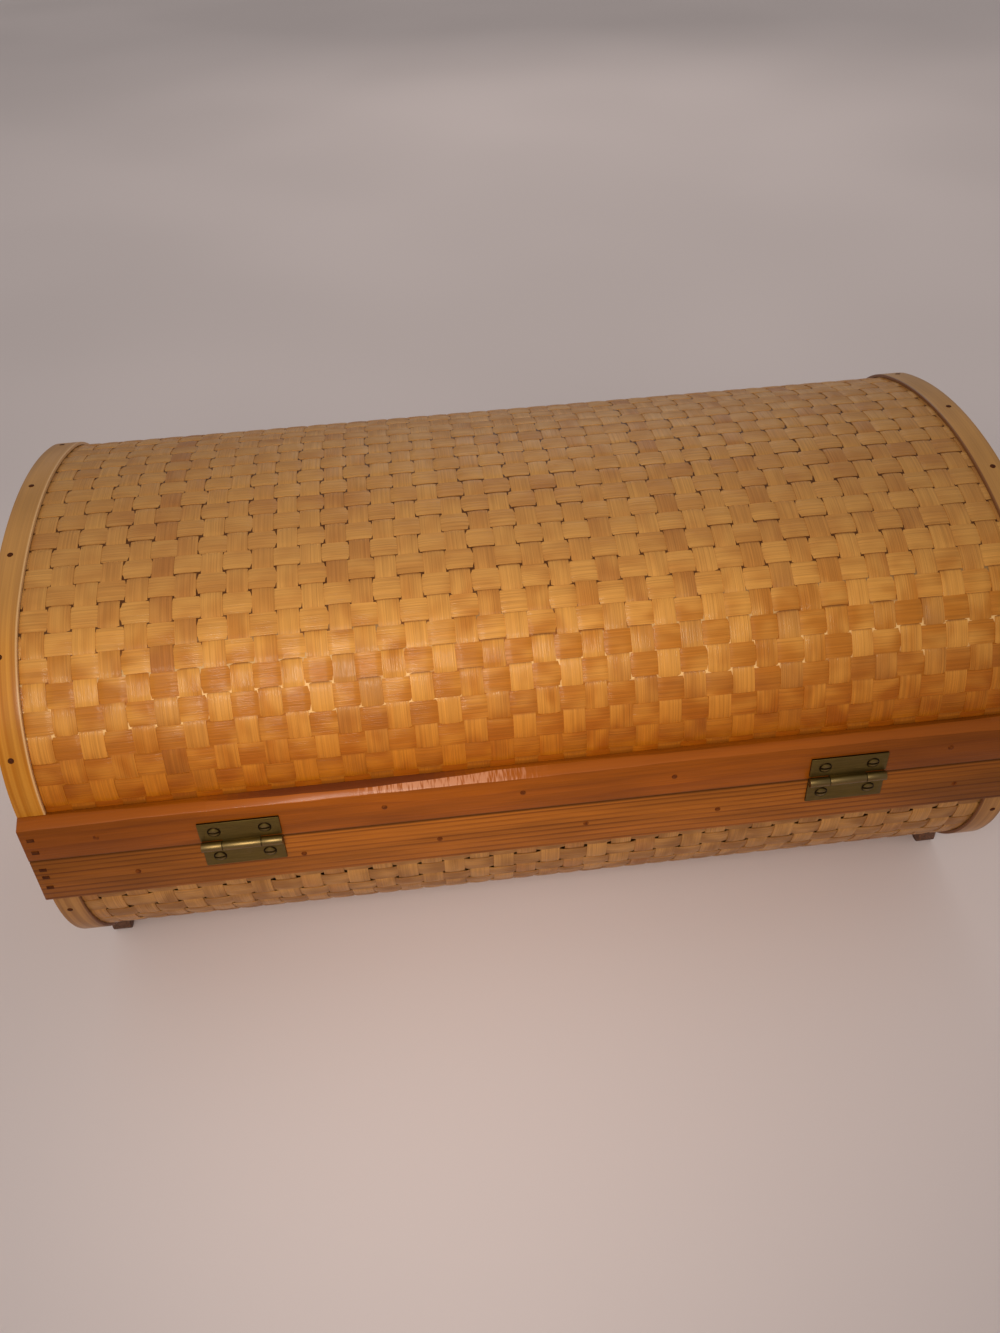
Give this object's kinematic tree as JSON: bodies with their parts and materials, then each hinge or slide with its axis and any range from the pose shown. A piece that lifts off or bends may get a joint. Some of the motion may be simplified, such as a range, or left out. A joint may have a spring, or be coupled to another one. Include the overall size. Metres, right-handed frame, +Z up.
{
  "type": "wicker trunk",
  "caption": "Barrel-shaped woven trunk with a domed hinged lid, a rounded base on two runners, wooden rails, bent end hoops and a hook catch.",
  "frame": {"origin": "on the floor under the middle of the trunk", "axes": "+X along the trunk to the left as seen from the back, -Y the front with the hook catch, +Y the back with the hinges, +Z up"},
  "size_m": [0.46, 0.2708, 0.2306],
  "materials": {
    "rail_wood": "amber varnish on softwood",
    "end_board_wood": "amber varnish on softwood",
    "batten_wood": "bare planed softwood",
    "woven_bamboo": "amber varnish on split bamboo",
    "bent_bamboo": "clear varnish on bent bamboo",
    "runner_wood": "stained hardwood",
    "aged_brass": "tarnished",
    "brass_screw": "tarnished",
    "brass_stud": "tarnished, worn bright",
    "iron_nail": "rusted dark"
  },
  "bodies": {
    "base": {"base_rail_back": "rail_wood", "base_rail_front": "rail_wood", "base_end_board_left": "end_board_wood", "base_end_board_right": "end_board_wood", "base_woven_panel": "woven_bamboo", "base_batten_back": "batten_wood", "base_batten_front": "batten_wood", "base_hoop_left": "bent_bamboo", "base_hoop_right": "bent_bamboo", "runner_left": "runner_wood", "runner_right": "runner_wood", "hinge_left_lower_leaf": "aged_brass", "hinge_left_pin": "brass_stud", "hinge_right_lower_leaf": "aged_brass", "hinge_right_pin": "brass_stud", "hinge_lower_screws": "brass_screw", "base_rail_nails": "iron_nail", "base_corner_nails": "iron_nail", "base_hoop_nails": "iron_nail", "runner_nails": "iron_nail", "stud_plate": "aged_brass", "catch_stud": "brass_stud", "stud_plate_pins": "brass_stud"},
    "lid": {"lid_rail_back": "rail_wood", "lid_rail_front": "rail_wood", "lid_end_board_left": "end_board_wood", "lid_end_board_right": "end_board_wood", "lid_woven_panel": "woven_bamboo", "lid_batten_back": "batten_wood", "lid_batten_front": "batten_wood", "lid_hoop_left": "bent_bamboo", "lid_hoop_right": "bent_bamboo", "hinge_left_upper_leaf": "aged_brass", "hinge_right_upper_leaf": "aged_brass", "hinge_upper_screws": "brass_screw", "lid_rail_nails": "iron_nail", "lid_corner_nails": "iron_nail", "lid_hoop_nails": "iron_nail", "hook_plate": "aged_brass", "hook_pivot": "brass_stud", "hook_plate_pins": "brass_stud"},
    "hook": {"latch_hook": "aged_brass"}
  },
  "joints": [
    {"name": "lid_hinge", "type": "hinge", "parent": "base", "child": "lid", "pos_m": [0, 0.1332, 0.12075], "axis": [-1, 0, 0], "range_deg": [0, 175]},
    {"name": "hook_swing", "type": "hinge", "parent": "lid", "child": "hook", "pos_m": [-0.00631, -0.1335, 0.12855], "axis": [0, -1, 0], "range_deg": [-95, 35]}
  ]
}
